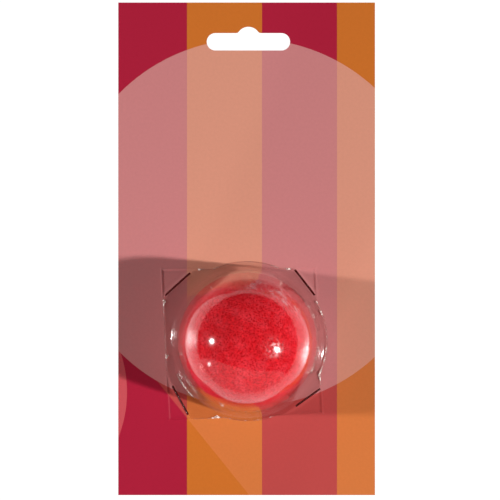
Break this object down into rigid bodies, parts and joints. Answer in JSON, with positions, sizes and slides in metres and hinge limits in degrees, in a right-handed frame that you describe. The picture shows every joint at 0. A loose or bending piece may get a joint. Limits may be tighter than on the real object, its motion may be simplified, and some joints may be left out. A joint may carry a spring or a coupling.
{
  "type": "clown nose on a blister card",
  "caption": "Red foam ball nose with a slit pocket, held by a clear formed dome whose flange corners tuck through slots in a striped hang card.",
  "frame": {"origin": "on the surface it lies on, below the middle of the card", "axes": "+Z out of the card's printed front and up through the dome, +Y along the card towards its hang hole, +X to the right of the printed front"},
  "size_m": [0.0984, 0.189, 0.0457],
  "materials": {
    "red_foam": "open-cell foam, matt",
    "clear_plastic": "clear thermoformed sheet, glossy",
    "printed_board": "printed and varnished paper board in crimson and orange stripes"
  },
  "bodies": {
    "root": {"nose": "red_foam", "blister": "clear_plastic", "card": "printed_board"}
  },
  "joints": []
}
